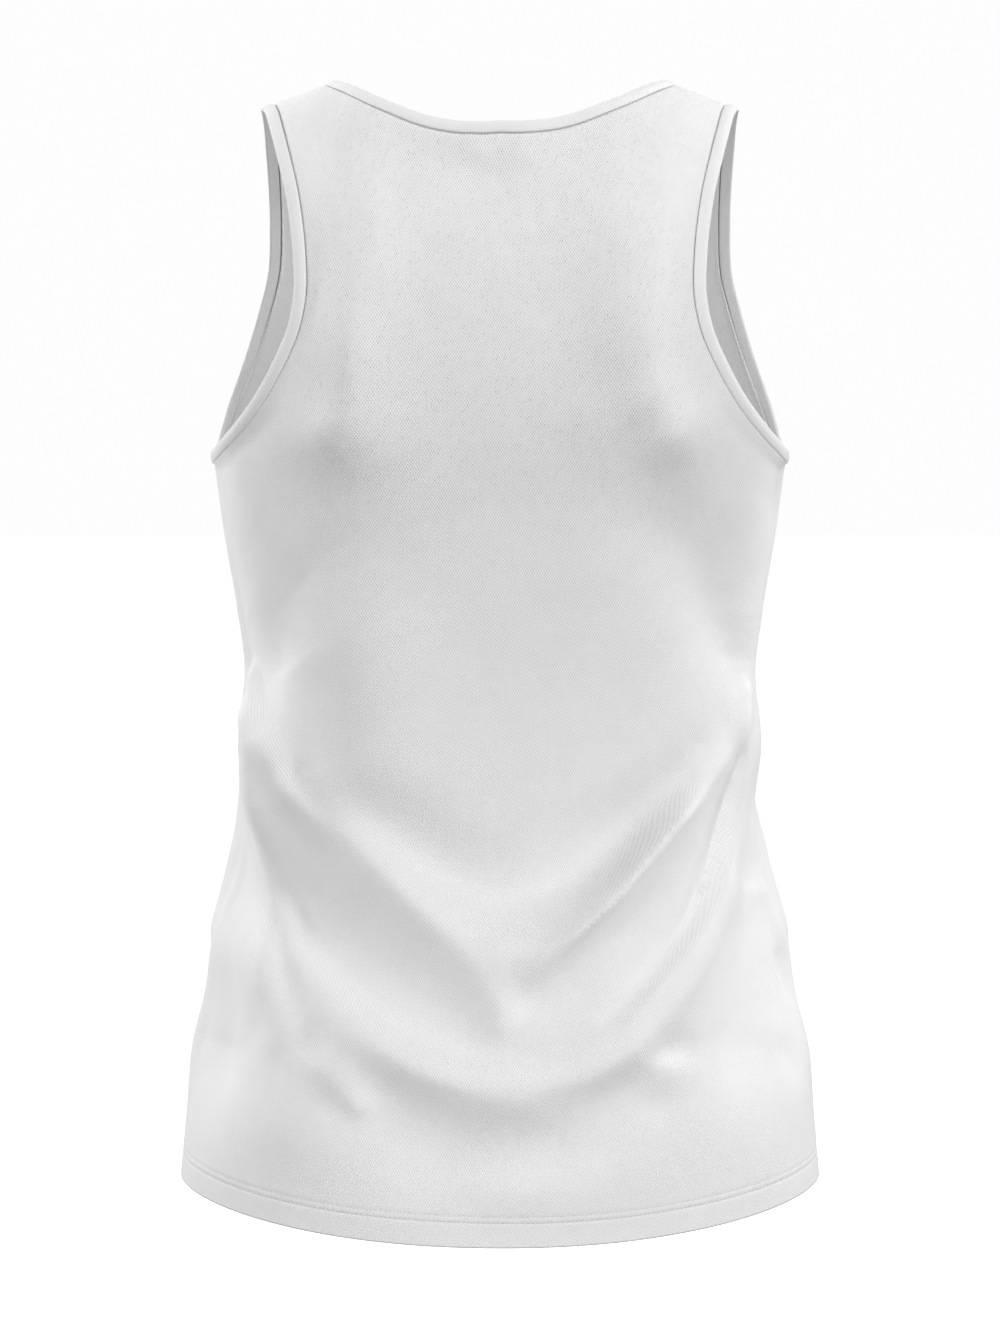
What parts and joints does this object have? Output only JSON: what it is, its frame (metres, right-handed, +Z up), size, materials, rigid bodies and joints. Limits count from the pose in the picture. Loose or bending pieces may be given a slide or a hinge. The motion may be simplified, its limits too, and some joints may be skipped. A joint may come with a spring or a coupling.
{
  "type": "tank top",
  "caption": "Sleeveless tank top of light knit in its worn shape, with bound neck and armholes and a turned-up hem.",
  "frame": {"origin": "midway between the two shoulder straps, level with the inner faces that rest on the wearer's shoulders", "axes": "+Z up along the body, towards the neck; the front of the garment faces -Y and the back +Y; the wearer's left is at +X"},
  "size_m": [0.4016, 0.2362, 0.6907],
  "materials": {
    "body_knit": "matte white knit with a fine diagonal texture",
    "binding_knit": "matte white folded knit strip"
  },
  "bodies": {
    "root": {"back_panel": "body_knit", "front_panel": "body_knit", "neck_binding": "binding_knit", "left_armhole_binding": "binding_knit", "right_armhole_binding": "binding_knit"}
  },
  "joints": []
}
